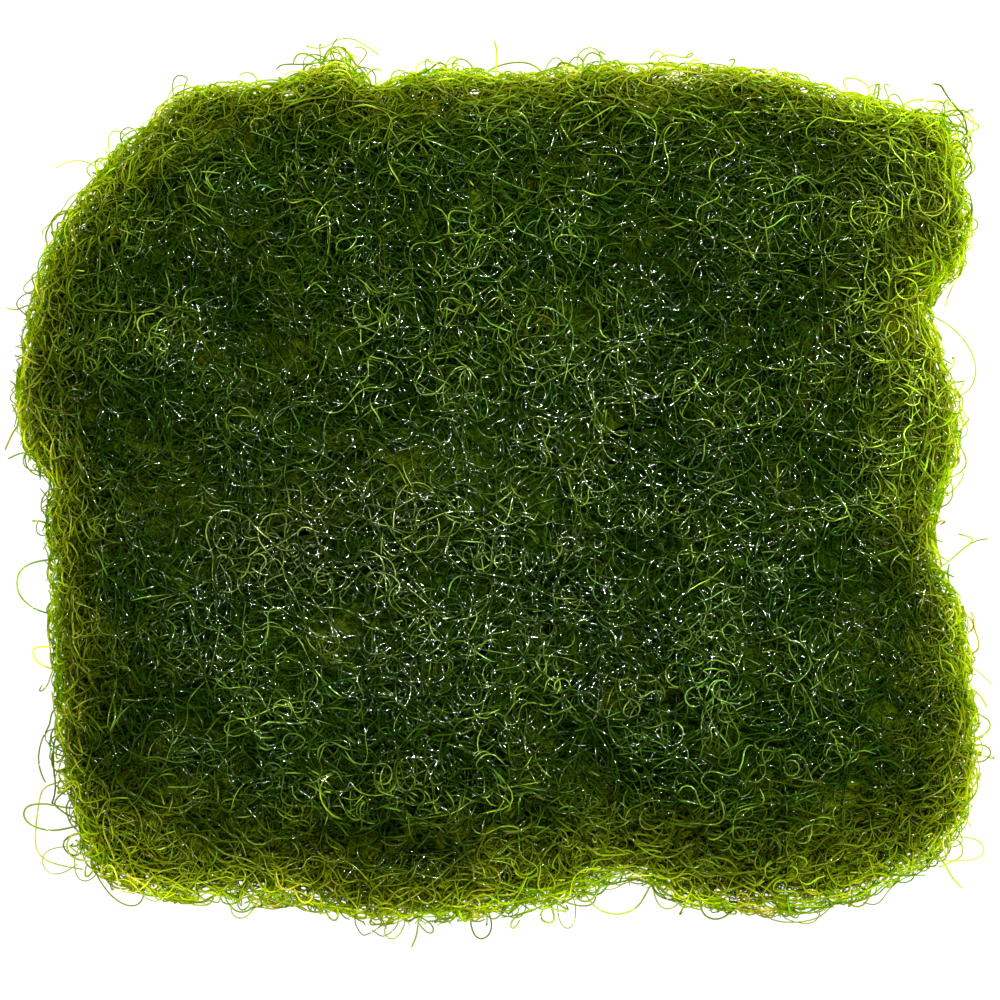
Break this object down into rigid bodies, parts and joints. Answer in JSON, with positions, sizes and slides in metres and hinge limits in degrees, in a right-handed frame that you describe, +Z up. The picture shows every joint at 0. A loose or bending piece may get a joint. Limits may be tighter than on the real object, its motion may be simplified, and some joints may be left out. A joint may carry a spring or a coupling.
{
  "type": "chaeto macroalgae",
  "caption": "Pillow-like mat of wiry, curly green filaments tangled into each other, lying flat, with stray filaments looping out from its rim.",
  "frame": {"origin": "on the surface that the mat lies on, under the middle of the whole portion with its stray filaments", "axes": "+Z up, +X to the right of the mat seen from above (its longest side), +Y towards its back, the top of the picture"},
  "size_m": [0.1899, 0.1732, 0.0423],
  "materials": {
    "matted_filaments": "wet, glossy, slightly see-through dark green filaments, yellow-green at the rim",
    "stray_filaments": "wet, glossy, slightly see-through yellow-green filaments"
  },
  "bodies": {
    "root": {"tangle": "matted_filaments", "stray_left_back_stem": "stray_filaments", "stray_left_back_loop": "stray_filaments", "stray_left_back_tail": "stray_filaments", "stray_left_back_bow": "stray_filaments", "stray_left_shoulder": "stray_filaments", "stray_left_small_loop": "stray_filaments", "stray_left_high_run": "stray_filaments", "stray_left_high_hook": "stray_filaments", "stray_left_middle_run": "stray_filaments", "stray_left_middle_tail": "stray_filaments", "stray_left_long_loop": "stray_filaments", "stray_left_bow": "stray_filaments", "stray_left_hook": "stray_filaments", "stray_corner_long": "stray_filaments", "stray_corner_loop": "stray_filaments", "stray_corner_low_loop": "stray_filaments", "stray_corner_arc": "stray_filaments", "stray_front_left_loop": "stray_filaments", "stray_front_left_arc": "stray_filaments", "stray_front_tail": "stray_filaments", "stray_front_loop": "stray_filaments", "stray_front_small_loop": "stray_filaments", "stray_front_arc": "stray_filaments", "stray_front_right_arc": "stray_filaments", "stray_front_right_tip": "stray_filaments", "stray_right_front_arc": "stray_filaments", "stray_right_run": "stray_filaments", "stray_right_short": "stray_filaments", "stray_right_fork": "stray_filaments", "stray_right_fork_run": "stray_filaments", "stray_right_pale_loop": "stray_filaments", "stray_right_back_run": "stray_filaments", "stray_right_back_loop": "stray_filaments", "stray_corner_ring": "stray_filaments", "stray_corner_curl": "stray_filaments", "stray_back_peak": "stray_filaments", "stray_back_hook": "stray_filaments", "stray_back_bow": "stray_filaments", "stray_back_stem": "stray_filaments", "stray_back_left_arc": "stray_filaments"}
  },
  "joints": []
}
